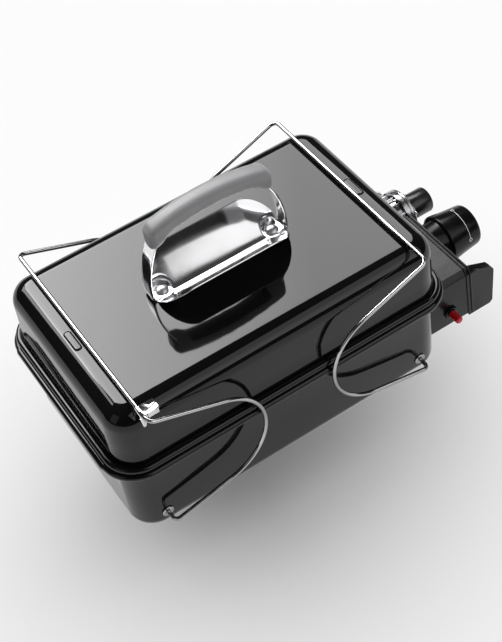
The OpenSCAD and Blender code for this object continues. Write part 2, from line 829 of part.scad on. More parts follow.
module push_nuts() {
    for (s = [-1, 1])
        translate([0, s * (half_y - sheet - nut_gap - 0.8), 0]) rotate([90, 0, 0]) difference() {
            cylinder(r = nut_r, h = 1.6, center = true);
            cylinder(r = wire_r + fit_gap, h = 4, center = true);
        }
}

module left_leg() {
    color("#cfd1d3") left_side() leg();
}

module left_washers() {
    color("#c3c5c8") left_side() washers();
}

module left_push_nuts() {
    color("#9a9da0") left_side() push_nuts();
}

module leg_clip() {
    y0 = -leg_y + bar_bend + 0.2;
    len = 15;
    t = 1.2;
    color("#d9dbdd") left_side() translate([0, y0, bar_up]) difference() {
        union() {
            bar_y(wire_r + t, 0, len);
            translate([0, 0.2, wire_r - 0.5]) cube([19, len - 0.4, t]);
            translate([5, 0.2, -5]) cube([13, t, 5 + wire_r]);
            translate([0, t + 0.4, 0]) rotate([90, 0, 0]) linear_extrude(t)
                polygon([[-4.5, -1], [5, -1], [0, -16], [-3, -15]]);
        }
        bar_y(wire_r + fit_gap, -1, len + 1);
    }
}

module right_leg() {
    color("#cfd1d3") right_side() leg();
}

module right_washers() {
    color("#c3c5c8") right_side() washers();
}

module right_push_nuts() {
    color("#9a9da0") right_side() push_nuts();
}

bowl();
lid();
handle_bracket();
handle_grip();
handle_screws();
handle_nuts();
grate_ledges();
cooking_grate();
heat_plate();
burner_tube();
electrode_insulator();
electrode_rod();
control_box();
control_panel();
box_screws();
box_nuts();
panel_screws();
valve_body();
valve_screw();
valve_stem();
knob();
feed_pipe();
feed_nut();
regulator_body();
regulator_cover();
regulator_screws();
inlet_nipple();
inlet_cap();
port_nut();
port_plug();
igniter_body();
igniter_nut();
igniter_button();
left_leg();
left_washers();
left_push_nuts();
leg_clip();
right_leg();
right_washers();
right_push_nuts();
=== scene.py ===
import math

import bmesh
import bpy
from mathutils import Matrix, Vector


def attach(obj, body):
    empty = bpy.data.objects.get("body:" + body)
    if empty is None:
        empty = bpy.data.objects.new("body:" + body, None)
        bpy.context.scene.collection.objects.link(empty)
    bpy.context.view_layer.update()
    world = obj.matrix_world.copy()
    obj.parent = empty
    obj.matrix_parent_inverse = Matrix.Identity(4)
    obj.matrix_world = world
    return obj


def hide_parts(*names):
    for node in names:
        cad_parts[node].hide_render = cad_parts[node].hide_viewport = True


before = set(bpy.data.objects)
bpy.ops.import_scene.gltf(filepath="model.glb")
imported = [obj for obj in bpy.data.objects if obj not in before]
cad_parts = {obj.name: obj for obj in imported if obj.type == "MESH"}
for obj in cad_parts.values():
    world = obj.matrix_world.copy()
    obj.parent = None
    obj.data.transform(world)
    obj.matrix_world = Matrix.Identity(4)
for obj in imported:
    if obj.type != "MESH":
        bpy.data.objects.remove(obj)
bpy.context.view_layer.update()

# Camera
# It stands high over the grill's front left corner and looks down on the lid, with a long lens.
view_right = Vector((0.8323126, -0.5440187, -0.1062987))
view_up = Vector((0.4737085, 0.5985060, 0.6460579))
view_back = Vector((-0.2878472, -0.5880767, 0.7558504))
camera = bpy.data.objects.new("grill_camera", bpy.data.cameras.new("grill_camera"))
camera.data.lens = 76.09
camera.data.sensor_width = 36
camera.matrix_world = (Matrix.Translation((-0.446457, -0.971028, 1.331400))
                       @ Matrix((view_right, view_up, view_back)).transposed().to_4x4())
bpy.context.scene.collection.objects.link(camera)
bpy.context.scene.camera = camera
bpy.context.scene.view_settings.view_transform = "Standard"

# Bowl
# Deep pan pressed from sheet steel and fired with glossy black enamel. Its edge is turned out to a flange and
# rolled under into a bead, which carries the lid and stiffens the pan.
MM = 0.001


def new_group(name, inputs, outputs):
    """An empty shader node group with number sockets."""
    group = bpy.data.node_groups.new(name, "ShaderNodeTree")
    for label, value in inputs.items():
        socket = group.interface.new_socket(label, in_out="INPUT", socket_type="NodeSocketFloat")
        socket.default_value = value
    for label in outputs:
        group.interface.new_socket(label, in_out="OUTPUT", socket_type="NodeSocketFloat")
    return group, group.nodes.new("NodeGroupInput"), group.nodes.new("NodeGroupOutput")


def join(tree, source, output, target, socket):
    tree.links.new(source.outputs[output], target.inputs[socket])


# A value that drifts in soft patches from Low to High, used for gloss, tint and relief alike.
patches, patches_in, patches_out = new_group("patches", {"Scale": 10, "Low": 0, "High": 1}, ["Value"])
patch_place = patches.nodes.new("ShaderNodeTexCoord")
patch_noise = patches.nodes.new("ShaderNodeTexNoise")
patch_noise.inputs["Detail"].default_value = 3
patch_range = patches.nodes.new("ShaderNodeMapRange")
patch_range.inputs["From Min"].default_value = 0.3
patch_range.inputs["From Max"].default_value = 0.7
join(patches, patch_place, "Object", patch_noise, "Vector")
join(patches, patches_in, "Scale", patch_noise, "Scale")
join(patches, patch_noise, "Fac", patch_range, "Value")
join(patches, patches_in, "Low", patch_range, "To Min")
join(patches, patches_in, "High", patch_range, "To Max")
join(patches, patch_range, "Result", patches_out, "Value")


def place_patches(tree, scale, low, high):
    """One use of the patches group."""
    node = tree.nodes.new("ShaderNodeGroup")
    node.node_tree = patches
    node.inputs["Scale"].default_value = scale
    node.inputs["Low"].default_value = low
    node.inputs["High"].default_value = high
    return node


def new_finish(name, colours, gloss, relief, metallic=0.0, ior=1.5):
    """A finish from two colours that drift into each other.

    gloss is (scale, low, high), relief a list of (scale, height).
    """
    made = bpy.data.materials.new(name)
    made.use_nodes = True
    tree = made.node_tree
    shader = tree.nodes["Principled BSDF"]
    shader.inputs["Metallic"].default_value = metallic
    shader.inputs["IOR"].default_value = ior
    drift = place_patches(tree, gloss[0] * 0.6, 0, 1)
    tint = tree.nodes.new("ShaderNodeMix")
    tint.data_type = "RGBA"
    tint.inputs["A"].default_value = (*colours[0], 1)
    tint.inputs["B"].default_value = (*colours[1], 1)
    tree.links.new(drift.outputs["Value"], tint.inputs["Factor"])
    tree.links.new(next(o for o in tint.outputs if o.type == "RGBA"), shader.inputs["Base Color"])
    join(tree, place_patches(tree, *gloss), "Value", shader, "Roughness")
    height = None
    for scale, rise in relief:
        layer = place_patches(tree, scale, 0, rise)
        if height is None:
            height = layer.outputs["Value"]
        else:
            both = tree.nodes.new("ShaderNodeMath")
            tree.links.new(height, both.inputs[0])
            tree.links.new(layer.outputs["Value"], both.inputs[1])
            height = both.outputs["Value"]
    if height is not None:
        bump = tree.nodes.new("ShaderNodeBump")
        bump.inputs["Distance"].default_value = 1.0
        tree.links.new(height, bump.inputs["Height"])
        join(tree, bump, "Normal", shader, "Normal")
    return made


def make_piece(name, bm, finish, body, slot, *nodes, crease=35):
    """Turns a mesh in the making into a piece that rides on a body and stands for CAD nodes."""
    mesh = bpy.data.meshes.new(name)
    bm.to_mesh(mesh)
    bm.free()
    mesh.shade_smooth()
    mesh.set_sharp_from_angle(angle=math.radians(crease))
    mesh.materials.append(finish)
    piece = bpy.data.objects.new(name, mesh)
    bpy.context.scene.collection.objects.link(piece)
    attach(piece, body)
    if nodes:
        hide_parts(*nodes)
    return piece


def pen_line(bm, tip, to):
    """Draws a straight edge from the last vertex."""
    tip = bmesh.ops.extrude_vert_indiv(bm, verts=[tip])["verts"][0]
    tip.co = to
    return tip


def pen_arc(bm, tip, centre, axis, degrees, steps):
    """Draws an arc from the last vertex round a centre."""
    made = bmesh.ops.spin(bm, geom=[tip], cent=centre, axis=axis, angle=math.radians(degrees), steps=steps)
    return next(g for g in made["geom_last"] if isinstance(g, bmesh.types.BMVert))


def run_edges(bm, edges, step):
    """Draws edges out along a straight step and returns the far ones."""
    made = bmesh.ops.extrude_edge_only(bm, edges=edges)["geom"]
    verts = [g for g in made if isinstance(g, bmesh.types.BMVert)]
    bmesh.ops.translate(bm, verts=verts, vec=step)
    far = set(verts)
    return [g for g in made if isinstance(g, bmesh.types.BMEdge) and all(v in far for v in g.verts)]


def turn_edges(bm, edges, centre, axis, degrees, steps):
    """Carries edges round an axis and returns the far ones."""
    made = bmesh.ops.spin(bm, geom=edges, cent=centre, axis=axis, angle=math.radians(degrees), steps=steps)
    return [g for g in made["geom_last"] if isinstance(g, bmesh.types.BMEdge)]


def mirror_all(bm, axis, merge):
    """Adds the mirror image of everything drawn so far."""
    bmesh.ops.mirror(bm, geom=bm.verts[:] + bm.edges[:] + bm.faces[:], axis=axis, merge_dist=merge)


def carry_round(bm, corner_x, corner_y, steps):
    """Takes a section round a quarter of the plan, then mirrors that to the whole."""
    edges = run_edges(bm, bm.edges[:], (corner_x, 0, 0))
    edges = turn_edges(bm, edges, (corner_x, -corner_y, 0), (0, 0, 1), 90, steps)
    run_edges(bm, edges, (0, corner_y, 0))
    for axis in ("X", "Y"):
        mirror_all(bm, axis, 1e-6)
    bmesh.ops.remove_doubles(bm, verts=bm.verts, dist=2e-6)
    made = bmesh.ops.holes_fill(bm, edges=[e for e in bm.edges if e.is_boundary], sides=0)
    bmesh.ops.inset_individual(bm, faces=made["faces"], thickness=2 * MM)
    bmesh.ops.recalc_face_normals(bm, faces=bm.faces)


enamel = new_finish("black_enamel", [(0.0035, 0.0035, 0.004), (0.005, 0.005, 0.0055)], (9, 0.035, 0.06),
                    [(14, 0.00007), (420, 0.0000006)], ior=1.4)
BOWL_CORNER = (183.5 * MM, 102.5 * MM)
BOWL_FROM = 99 * MM
BOWL_WALL = 36
BOWL_BEND = 17
BOWL_SHEET = 1.4
BOWL_BEAD = (44.5, 119.5)
BOWL_BEAD_R = 4.5


def bowl_at(out, up):
    """A point of the bowl's section, in millimetres out and up."""
    return Vector((0, -BOWL_FROM - out * MM, up * MM))


bowl = bmesh.new()
bead_from = math.radians(37)
tip = bowl.verts.new(bowl_at(BOWL_WALL - BOWL_BEND, 0))
tip = pen_arc(bowl, tip, bowl_at(BOWL_WALL - BOWL_BEND, BOWL_BEND), (-1, 0, 0), 90, 12)
tip = pen_line(bowl, tip, bowl_at(BOWL_WALL, 60))
tip = pen_line(bowl, tip, bowl_at(BOWL_WALL, 119.4))
tip = pen_arc(bowl, tip, bowl_at(BOWL_WALL + 2.8, 119.4), (1, 0, 0), 90, 6)
tip = pen_line(bowl, tip, bowl_at(BOWL_BEAD[0] - BOWL_BEAD_R * math.cos(bead_from),
                                  BOWL_BEAD[1] + BOWL_BEAD_R * math.sin(bead_from)))
tip = pen_arc(bowl, tip, bowl_at(*BOWL_BEAD), (-1, 0, 0), 331, 40)
tip = pen_line(bowl, tip, bowl_at(BOWL_WALL + 1.4, 123.6))
tip = pen_arc(bowl, tip, bowl_at(BOWL_WALL + 1.4, 120.8), (-1, 0, 0), 90, 6)
tip = pen_line(bowl, tip, bowl_at(BOWL_WALL - BOWL_SHEET, 60))
tip = pen_line(bowl, tip, bowl_at(BOWL_WALL - BOWL_SHEET, BOWL_BEND))
tip = pen_arc(bowl, tip, bowl_at(BOWL_WALL - BOWL_BEND, BOWL_BEND), (1, 0, 0), 90, 12)
carry_round(bowl, *BOWL_CORNER, 16)
# the end flanges are a little wider than the long ones
FLANGE_LOW = 114.5 * MM
FLANGE_FROM = 180 * MM
FLANGE_REACH = 49 * MM
FLANGE_WALL = 36.2 * MM
FLANGE_BLEND = 4 * MM
FLANGE_WIDER = 3.4 * MM
for vert in bowl.verts:
    past = abs(vert.co.x) - FLANGE_FROM
    flange = vert.co.z > FLANGE_LOW and abs(vert.co.y) < 148.5 * MM
    if flange and past > 0:
        share = min(1, past / FLANGE_REACH)
        if abs(vert.co.y) > BOWL_CORNER[1]:
            share *= 0.6
        else:
            share *= min(1, max(0, (past - FLANGE_WALL) / FLANGE_BLEND))
        vert.co.x += math.copysign(FLANGE_WIDER * share, vert.co.x)
make_piece("enamelled_bowl", bowl, enamel, "grill", "enamel", "bowl")

# Inside of the bowl
# Steel ledges carry a rod grate, and a folded heat plate stands over the tube burner, whose spark comes from
# a wire in a ceramic sleeve. The closed lid hides them all.
plain_steel = new_finish("plain_steel", [(0.42, 0.42, 0.43), (0.36, 0.36, 0.37)], (60, 0.28, 0.42),
                         [(300, 0.000004)], metallic=1.0)
grate_chrome = new_finish("grate_chrome", [(0.62, 0.62, 0.63), (0.56, 0.56, 0.57)], (40, 0.18, 0.3),
                          [(200, 0.000003)], metallic=1.0)
ceramic = new_finish("glazed_ceramic", [(0.78, 0.75, 0.68), (0.72, 0.69, 0.62)], (80, 0.2, 0.35),
                     [(500, 0.000003)])
brass = new_finish("brass", [(0.62, 0.42, 0.17), (0.52, 0.34, 0.13)], (90, 0.22, 0.38),
                   [(350, 0.000004)], metallic=1.0)


def dress(finish, *nodes):
    """Gives CAD nodes that stay as they are their finish."""
    for node in nodes:
        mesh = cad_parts[node].data
        mesh.materials.clear()
        mesh.materials.append(finish)


dress(enamel, "grate_ledges")
dress(grate_chrome, "cooking_grate")
dress(plain_steel, "heat_plate", "burner_tube", "electrode_rod", "box_screws", "box_nuts", "valve_screw",
      "handle_nuts", "left_push_nuts", "right_push_nuts")
dress(ceramic, "electrode_insulator")
dress(brass, "valve_body", "valve_stem", "feed_pipe", "inlet_nipple")

# Control box and panel
# Moulded in satin black plastic: a box with bevelled edges on the bowl's right end, closed by a panel with
# two ribs round its edge and a guard that stands out along its front and shields the knob.
box_black = new_finish("satin_black", [(0.003, 0.003, 0.0032), (0.005, 0.005, 0.0053)], (70, 0.2, 0.28),
                       [(1400, 0.000006), (260, 0.000003)], ior=1.33)


def round_edges(bm, edges, radius, segments, clamp=False):
    """Rounds edges over and returns what the bevel made."""
    return bmesh.ops.bevel(bm, geom=edges, offset=radius, offset_type="OFFSET", affect="EDGES",
                           segments=segments, profile=0.5, material=-1, clamp_overlap=clamp)


def rounded_copy(node, radius, segments=2):
    """A CAD node's own form with its edges rounded."""
    bm = bmesh.new()
    bm.from_mesh(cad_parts[node].data)
    bmesh.ops.remove_doubles(bm, verts=bm.verts, dist=2e-6)
    bmesh.ops.dissolve_limit(bm, angle_limit=math.radians(0.5), verts=bm.verts, edges=bm.edges)
    sharp = [e for e in bm.edges if e.is_manifold and e.calc_face_angle() > math.radians(30)]
    round_edges(bm, sharp, radius, segments, clamp=True)
    return bm


def to_metres(bm, up=0):
    """Takes a mesh drawn in millimetres to metres, lifted by up."""
    bmesh.ops.transform(bm, matrix=Matrix.Translation((0, 0, up * MM)) @ Matrix.Scale(MM, 4), verts=bm.verts)


make_piece("control_box_shell", rounded_copy("control_box", 1.2 * MM, 4), box_black, "grill", "box_black",
           "control_box", crease=10)
make_piece("control_panel_cover", rounded_copy("control_panel", 0.7 * MM, 3), box_black, "grill", "box_black",
           "control_panel", crease=10)
# the panel's two ribs: half-round beads over the top, down the bevel and down the front
RIB_R = 1.5
RIB_BACK = 19.6
RIB_TOP = 91.7
RIB_FRONT = -98.25
RIB_BEND = 1.8
RIB_BEVEL = Vector((0, -5.94, -5.94))
RIB_FALL = Vector((5.4, 0, -71))
ribs = bmesh.new()
for rib_x in (276.4, 281.8):
    rib_start = Matrix.Translation((rib_x, RIB_BACK, RIB_TOP)) @ Matrix.Rotation(math.pi / 2, 4, "X")
    rib_turn = Vector((rib_x, RIB_FRONT, RIB_TOP - RIB_BEND))
    made = bmesh.ops.create_circle(ribs, radius=RIB_R, segments=16, matrix=rib_start)
    edges = list(dict.fromkeys(e for v in made["verts"] for e in v.link_edges))
    edges = run_edges(ribs, edges, (0, RIB_FRONT - RIB_BACK, 0))
    edges = turn_edges(ribs, edges, rib_turn, (1, 0, 0), 45, 6)
    edges = run_edges(ribs, edges, RIB_BEVEL)
    edges = turn_edges(ribs, edges, rib_turn + RIB_BEVEL, (1, 0, 0), 45, 6)
    run_edges(ribs, edges, RIB_FALL)
bmesh.ops.holes_fill(ribs, edges=[e for e in ribs.edges if e.is_boundary], sides=0)
bmesh.ops.recalc_face_normals(ribs, faces=ribs.faces)
to_metres(ribs)
make_piece("panel_ribs", ribs, box_black, "grill", "box_black", crease=60)
make_piece("panel_screw_heads", rounded_copy("panel_screws", 0.3 * MM), plain_steel, "grill", "plain_steel",
           "panel_screws")

# Knob
# Black moulding with a collar, a step and a slightly tapered barrel, pushed on the valve's stem. A thin white
# arc with a square at one end and a ring at the other is printed round it.
knob_black = new_finish("knob_black", [(0.003, 0.003, 0.0032), (0.005, 0.005, 0.0053)], (60, 0.18, 0.26),
                        [(900, 0.000005)], ior=1.3)
print_white = new_finish("print_white", [(0.85, 0.85, 0.84), (0.78, 0.78, 0.77)], (90, 0.45, 0.6),
                         [(900, 0.000003)])
KNOB_AXIS = Vector((0, -10.6, 49)) * MM
# the barrel tapers in two straight stretches, given as place along the axis and radius
KNOB_TAPER = [(312, 33.4), (329, 30.9), (352.4, 28.4)]


def knob_at(x, r):
    return KNOB_AXIS + Vector((x, 0, r)) * MM


def close_spin(bm, edges, centre, axis, steps):
    """A full turn of a drawn profile, closed at its seam and poles."""
    bmesh.ops.spin(bm, geom=edges, cent=centre, axis=axis, angle=2 * math.pi, steps=steps, use_merge=True)
    bmesh.ops.remove_doubles(bm, verts=bm.verts, dist=2e-6)
    bmesh.ops.recalc_face_normals(bm, faces=bm.faces)


knob = bmesh.new()
tip = knob.verts.new(knob_at(296, 22.9))
knob_foot = [(290.3, 23), (290, 23.4), (290, 27), (290.9, 28), (307.2, 28), (308.4, 28.6), (309, 32.2),
             (309.5, 33), (310.6, 33.45)]
knob_face = [(354.4, 27.9), (355.9, 26.9), (356.8, 25.3), (357, 23.6), (356.2, 22.4), (355.6, 21),
             (355.4, 17), (355.3, 8), (355.3, 0)]
for x, r in knob_foot + KNOB_TAPER + knob_face:
    tip = pen_line(knob, tip, knob_at(x, r))
close_spin(knob, knob.edges[:], KNOB_AXIS, (1, 0, 0), 72)
make_piece("knob_barrel", knob, knob_black, "control_knob", "knob_black", "knob", crease=40)


def knob_skin(x, degrees, rise=0.12):
    """A point just over the knob's barrel, the angle taken from the front over the top."""
    low, high = KNOB_TAPER[:2] if x < KNOB_TAPER[1][0] else KNOB_TAPER[1:]
    r = low[1] + (x - low[0]) * (high[1] - low[1]) / (high[0] - low[0])
    turn = math.radians(degrees)
    return KNOB_AXIS + Vector((x, -(r + rise) * math.cos(turn), (r + rise) * math.sin(turn))) * MM


marks = bmesh.new()
tip = marks.verts.new(knob_skin(337.1, 17.5))
tip = pen_line(marks, tip, knob_skin(337.9, 17.5))
turn_edges(marks, marks.edges[:], KNOB_AXIS, (-1, 0, 0), 84, 40)
for x, degrees, size, sides, turned in [(337.5, 12, 2.6, 18, 0), (338.2, 109, 2.9, 4, 45)]:
    outward = (knob_skin(x, degrees) - KNOB_AXIS) * Vector((0, 1, 1))
    facing = Matrix.Translation(knob_skin(x, degrees)) @ outward.to_track_quat("Z", "X").to_matrix().to_4x4()
    ring = bmesh.ops.create_circle(marks, radius=size * MM, segments=sides,
                                   matrix=facing @ Matrix.Rotation(math.radians(turned), 4, "Z"))["verts"]
    edges = [e for e in marks.edges if e.verts[0] in ring and e.verts[1] in ring]
    inner = bmesh.ops.extrude_edge_only(marks, edges=edges)["geom"]
    bmesh.ops.scale(marks, verts=[g for g in inner if isinstance(g, bmesh.types.BMVert)],
                    vec=(0.66, 0.66, 0.66), space=Matrix.Translation(-knob_skin(x, degrees)))
# every mark is laid on the barrel's skin
for vert in marks.verts:
    x, spoke = vert.co.x / MM, vert.co - KNOB_AXIS
    vert.co = knob_skin(x, math.degrees(math.atan2(spoke.z, -spoke.y)))
bmesh.ops.recalc_face_normals(marks, faces=marks.faces)
bmesh.ops.solidify(marks, geom=marks.faces[:], thickness=-0.1 * MM)
make_piece("knob_marks", marks, print_white, "control_knob", "knob_black")

# Regulator
# Bright die-cast housing with ribs, a turned cover held by six screws, a hex port with a brass plug, and a
# black push-on cap that keeps dust out of the gas inlet.
cast_zinc = new_finish("cast_zinc", [(0.42, 0.42, 0.43), (0.34, 0.34, 0.35)], (120, 0.16, 0.34),
                       [(500, 0.000012), (90, 0.00001)], metallic=1.0)
bright_steel = new_finish("bright_steel", [(0.80, 0.80, 0.81), (0.76, 0.76, 0.77)], (24, 0.05, 0.11),
                          [(40, 0.00001)], metallic=1.0)
cap_black = new_finish("cap_black", [(0.008, 0.008, 0.0085), (0.012, 0.012, 0.0125)], (60, 0.2, 0.34),
                       [(700, 0.000004)])
make_piece("regulator_housing", rounded_copy("regulator_body", 0.5 * MM), cast_zinc, "grill", "cast_zinc",
           "regulator_body")
make_piece("regulator_lid", rounded_copy("regulator_cover", 0.5 * MM), cast_zinc, "grill", "cast_zinc",
           "regulator_cover")
make_piece("regulator_screw_heads", rounded_copy("regulator_screws", 0.4 * MM), bright_steel, "grill",
           "bright_steel", "regulator_screws")
make_piece("port_hex", rounded_copy("port_nut", 0.5 * MM), bright_steel, "grill", "cast_zinc", "port_nut")
make_piece("port_brass_plug", rounded_copy("port_plug", 0.8 * MM), brass, "grill", "brass", "port_plug")
make_piece("feed_hex", rounded_copy("feed_nut", 0.4 * MM), brass, "grill", "brass", "feed_nut")
make_piece("inlet_dust_cap", rounded_copy("inlet_cap", 0.8 * MM, 3), cap_black, "dust_cap", "knob_black",
           "inlet_cap")

# Igniter
# Red push button that slides in a black barrel, held to the front of the box by a flat nut.
red_plastic = new_finish("red_plastic", [(0.62, 0.012, 0.016), (0.52, 0.008, 0.012)], (60, 0.14, 0.26),
                         [(300, 0.000004)])
make_piece("igniter_barrel", rounded_copy("igniter_body", 0.4 * MM), box_black, "grill", "box_black",
           "igniter_body")
make_piece("igniter_hex", rounded_copy("igniter_nut", 0.5 * MM), box_black, "grill", "box_black",
           "igniter_nut")
make_piece("igniter_push_button", rounded_copy("igniter_button", 0.5 * MM, 3), red_plastic, "igniter_push",
           "red_plastic", "igniter_button")

# Lid
# Cover pressed from the same sheet and enamelled with the bowl: flat top, round edges, a wall that leans in a
# little and a rolled foot. Two low ridges are pressed up beside the folded leg bars.
LID_CORNER = (185 * MM, 103 * MM)
LID_FROM = 96 * MM
LID_SHEET = 1.4
LID_BEAD = (44.6, 128.2)
LID_BEAD_R = 4.2
RIDGE_X = 190.5 * MM
RIDGE_MID = 208.6 * MM
RIDGE_SIZE = (12 * MM, 36 * MM, 5 * MM, 1)


def lid_at(out, up):
    """A point of the lid's section, in millimetres out and up."""
    return Vector((0, -LID_FROM - out * MM, up * MM))


lid = bmesh.new()
bead_from = math.radians(30)
tip = lid.verts.new(lid_at(14, 210))
tip = pen_arc(lid, tip, lid_at(14, 186), (1, 0, 0), 88.2, 20)
tip = pen_line(lid, tip, lid_at(39, 156))
tip = pen_line(lid, tip, lid_at(39.7, 132.6))
tip = pen_line(lid, tip, lid_at(40.15, 131.2))
tip = pen_line(lid, tip, lid_at(LID_BEAD[0] - LID_BEAD_R * math.cos(bead_from),
                                LID_BEAD[1] + LID_BEAD_R * math.sin(bead_from)))
tip = pen_arc(lid, tip, lid_at(*LID_BEAD), (1, 0, 0), 250, 32)
tip = pen_line(lid, tip, lid_at(40.5, 123.7))
tip = pen_line(lid, tip, lid_at(38.4, 123.7))
tip = pen_line(lid, tip, lid_at(37.4, 156))
tip = pen_line(lid, tip, lid_at(38 - LID_SHEET, 186))
tip = pen_arc(lid, tip, lid_at(14, 186), (-1, 0, 0), 90, 20)
carry_round(lid, *LID_CORNER, 20)
# the ridges: blocks sunk in the top, their corners rounded first and then their crests
for side in (-1, 1):
    place = Matrix.Translation((side * RIDGE_X, 0, RIDGE_MID)) @ Matrix.Diagonal(RIDGE_SIZE)
    ridge = bmesh.ops.create_cube(lid, size=1, matrix=place)["verts"]
    edges = list(dict.fromkeys(e for v in ridge for e in v.link_edges))
    upright = [e for e in edges if abs(e.verts[0].co.z - e.verts[1].co.z) > 1 * MM]
    made = round_edges(lid, upright, 5.5 * MM, 8)
    crest = dict.fromkeys(e for f in made["faces"] for v in f.verts for e in v.link_edges
                          if all(w.co.z > RIDGE_MID + 2.3 * MM for w in e.verts))
    round_edges(lid, list(crest), 4 * MM, 8)
make_piece("enamelled_lid", lid, enamel, "grill", "enamel", "lid")

# Handle bracket
# One pressing of bright plated steel: a trough under the fingers whose two wings keep the lid's heat from
# the hand, a round cup for the screw at each end, and a bowed arm up to each end of the grip.
LID_TOP = 210
TROUGH_Y = -1
TROUGH_HALF = 41.3
VALLEY_Y = -8
VALLEY_UP = 2
VALLEY_BEND = 3
BACK_SLOPE = math.tan(math.radians(34))
FRONT_SLOPE = math.tan(math.radians(41))
BACK_DROOP = 0.14
FRONT_DROOP = 0.36
TROUGH_END = 87
TROUGH_END_R = 33
CUP_X = 74.5
CUP_Y = 1
CUP_R = 11.5
bracket_chrome = new_finish("bracket_chrome", [(0.84, 0.84, 0.85), (0.80, 0.80, 0.81)], (20, 0.09, 0.13),
                            [(26, 0.00002)], metallic=1.0)


def trough_height(x, y):
    """Height of the trough over the lid: two wings from a valley, flatter towards the ends."""
    out = y - VALLEY_Y
    bend = math.sqrt(out ** 2 + VALLEY_BEND ** 2) - VALLEY_BEND
    rise = (BACK_SLOPE - FRONT_SLOPE) / 2 * out + (BACK_SLOPE + FRONT_SLOPE) / 2 * bend
    past = min(1, max(0, (abs(x) - (TROUGH_END - TROUGH_END_R)) / TROUGH_END_R))
    return VALLEY_UP + rise * (1 - (FRONT_DROOP if out < 0 else BACK_DROOP) * past ** 1.5)


def cup_distance(x, y):
    """Distance in plan from the cup's wall, which is round towards the middle and open towards the arm."""
    if x > CUP_X:
        return abs(y - CUP_Y) - CUP_R
    return math.hypot(x - CUP_X, y - CUP_Y) - CUP_R


def set_on_cup(vert, radius):
    """Moves a vertex in plan onto the cup's wall, or onto a line inside it."""
    if vert.co.x > CUP_X:
        vert.co.y = CUP_Y + math.copysign(radius, vert.co.y - CUP_Y)
    else:
        spoke = Vector((vert.co.x - CUP_X, vert.co.y - CUP_Y)).normalized() * radius
        vert.co.x, vert.co.y = CUP_X + spoke.x, CUP_Y + spoke.y


# half the sheet is ruled as a grid, cut to the outline, opened for the cup and then bent up
bracket = bmesh.new()
tip = bracket.verts.new((0, -1, 0))
rows = 90
for row in range(1, rows + 1):
    tip = pen_line(bracket, tip, Vector((0, -1 + 2 * row / rows, 0)))
edges = bracket.edges[:]
for column in range(18):
    edges = run_edges(bracket, edges, (3, 0, 0))
for column in range(44):
    edges = run_edges(bracket, edges, (0.75, 0, 0))
for vert in bracket.verts:
    past = max(0, vert.co.x - (TROUGH_END - TROUGH_END_R))
    half = TROUGH_HALF - TROUGH_END_R + math.sqrt(max(0, TROUGH_END_R ** 2 - past ** 2))
    vert.co.y = TROUGH_Y + half * vert.co.y
inside = [f for f in bracket.faces if all(cup_distance(v.co.x, v.co.y) < 0.01 for v in f.verts)]
bmesh.ops.delete(bracket, geom=inside, context="FACES")
for vert in bracket.verts:
    if cup_distance(vert.co.x, vert.co.y) < 0:
        set_on_cup(vert, CUP_R)
shoulder = 3.4
for vert in bracket.verts:
    height = trough_height(vert.co.x, vert.co.y)
    reach = shoulder - cup_distance(vert.co.x, vert.co.y)
    if reach > 0:
        height -= shoulder - math.sqrt(max(0, shoulder ** 2 - reach ** 2))
    vert.co.z = max(1.8, height)
wall = [e for e in bracket.edges
        if e.is_boundary and all(abs(cup_distance(v.co.x, v.co.y)) < 0.02 for v in e.verts)]
for low, inset in [(2.6, 0.0), (1.7, 0.5), (1.0, 1.4)]:
    wall = run_edges(bracket, wall, (0, 0, 0))
    for vert in {v for e in wall for v in e.verts}:
        vert.co.z = min(vert.co.z, low)
        set_on_cup(vert, CUP_R - inset)
mirror_all(bracket, "X", 0.01)
bmesh.ops.remove_doubles(bracket, verts=bracket.verts, dist=0.02)
bmesh.ops.recalc_face_normals(bracket, faces=bracket.faces)
if sum(f.normal.z for f in bracket.faces) < 0:
    bmesh.ops.reverse_faces(bracket, faces=bracket.faces[:])
bmesh.ops.solidify(bracket, geom=bracket.faces[:], thickness=1.4)
rim = [e for e in bracket.edges if e.is_manifold and e.calc_face_angle() > math.radians(60)]
round_edges(bracket, rim, 0.35, 2)

# the arm: a seat flat on the lid under the screw's head, a quick bend, then a bowed strip up into the grip
ARM_FRONT = -9
ARM_SEAT = 0.2
ARM_FOOT = 86
ARM_BEND = 5
ARM_BOW = 150
ARM_TOP = 29.6
bow_centre = Vector((-58.7, ARM_FRONT, 10.6))
bow_steps = 18
arm = bmesh.new()
tip = arm.verts.new(Vector((CUP_X, ARM_FRONT, ARM_SEAT)))
tip = pen_line(arm, tip, Vector((ARM_FOOT, ARM_FRONT, ARM_SEAT)))
tip = pen_arc(arm, tip, Vector((ARM_FOOT, ARM_FRONT, ARM_SEAT + ARM_BEND)), (0, -1, 0), 80, 8)
start = tip.co - bow_centre
start_turn = math.degrees(math.atan2(start.z, start.x))
for step in range(1, bow_steps + 1):
    turn = math.radians(start_turn + (ARM_TOP - start_turn) * step / bow_steps)
    tip = pen_line(arm, tip, bow_centre + Vector((ARM_BOW * math.cos(turn), 0, ARM_BOW * math.sin(turn))))
edges = arm.edges[:]
for step in range(4):
    edges = run_edges(arm, edges, (0, 5, 0))
bmesh.ops.recalc_face_normals(arm, faces=arm.faces)
if sum(f.normal.x for f in arm.faces) < 0:
    bmesh.ops.reverse_faces(arm, faces=arm.faces[:])
bmesh.ops.solidify(arm, geom=arm.faces[:], thickness=2.3)
rim = [e for e in arm.edges if e.is_manifold and e.calc_face_angle() > math.radians(50)]
round_edges(arm, rim, 0.6, 3)
bmesh.ops.create_cone(arm, cap_ends=True, segments=48, radius1=CUP_R - 0.3, radius2=CUP_R - 0.3, depth=1.5,
                      matrix=Matrix.Translation((CUP_X, CUP_Y, 0.82)))
mirror_all(arm, "X", 1e-3)
bmesh.ops.recalc_face_normals(arm, faces=arm.faces)
